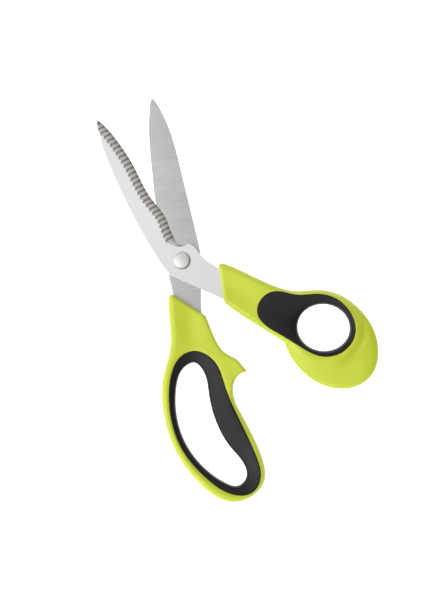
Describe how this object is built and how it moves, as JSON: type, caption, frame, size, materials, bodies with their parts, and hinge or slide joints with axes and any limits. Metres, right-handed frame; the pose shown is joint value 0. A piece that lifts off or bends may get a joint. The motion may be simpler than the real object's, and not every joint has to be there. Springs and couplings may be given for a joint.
{
  "type": "shears",
  "caption": "Hand shears: a fluted blade pivoted on a plain blade, a lined thumb ring with a broad brim, and a long lined finger loop with a spur.",
  "frame": {"origin": "on the pivot axis, in the shear plane between the two blades' inner faces", "axes": "+Z along the pivot axis towards the bolt's domed head, +Y from the pivot to the tip of the plain blade; the shears lie flat"},
  "size_m": [0.133, 0.2305, 0.013],
  "materials": {
    "satin_steel": "satin polished",
    "ground_steel": "ground across the blade",
    "pivot_steel": "polished",
    "spring_steel": "oiled",
    "nylon": "natural",
    "lime_plastic": "smooth moulded",
    "soft_grip": "soft moulded"
  },
  "bodies": {
    "finger_half": {"plain_blade": "ground_steel", "finger_handle": "lime_plastic", "finger_grip": "soft_grip", "pivot_bolt": "pivot_steel", "spacer_washer": "nylon", "spring_washer": "spring_steel", "pivot_nut": "pivot_steel"},
    "thumb_half": {"fluted_blade": "satin_steel", "thumb_handle": "lime_plastic", "thumb_grip": "soft_grip"}
  },
  "joints": [
    {"name": "blade_pivot", "type": "hinge", "parent": "finger_half", "child": "thumb_half", "pos_m": [0, 0, 0], "axis": [0, 0, 1], "range_deg": [-20.4, 70]}
  ]
}
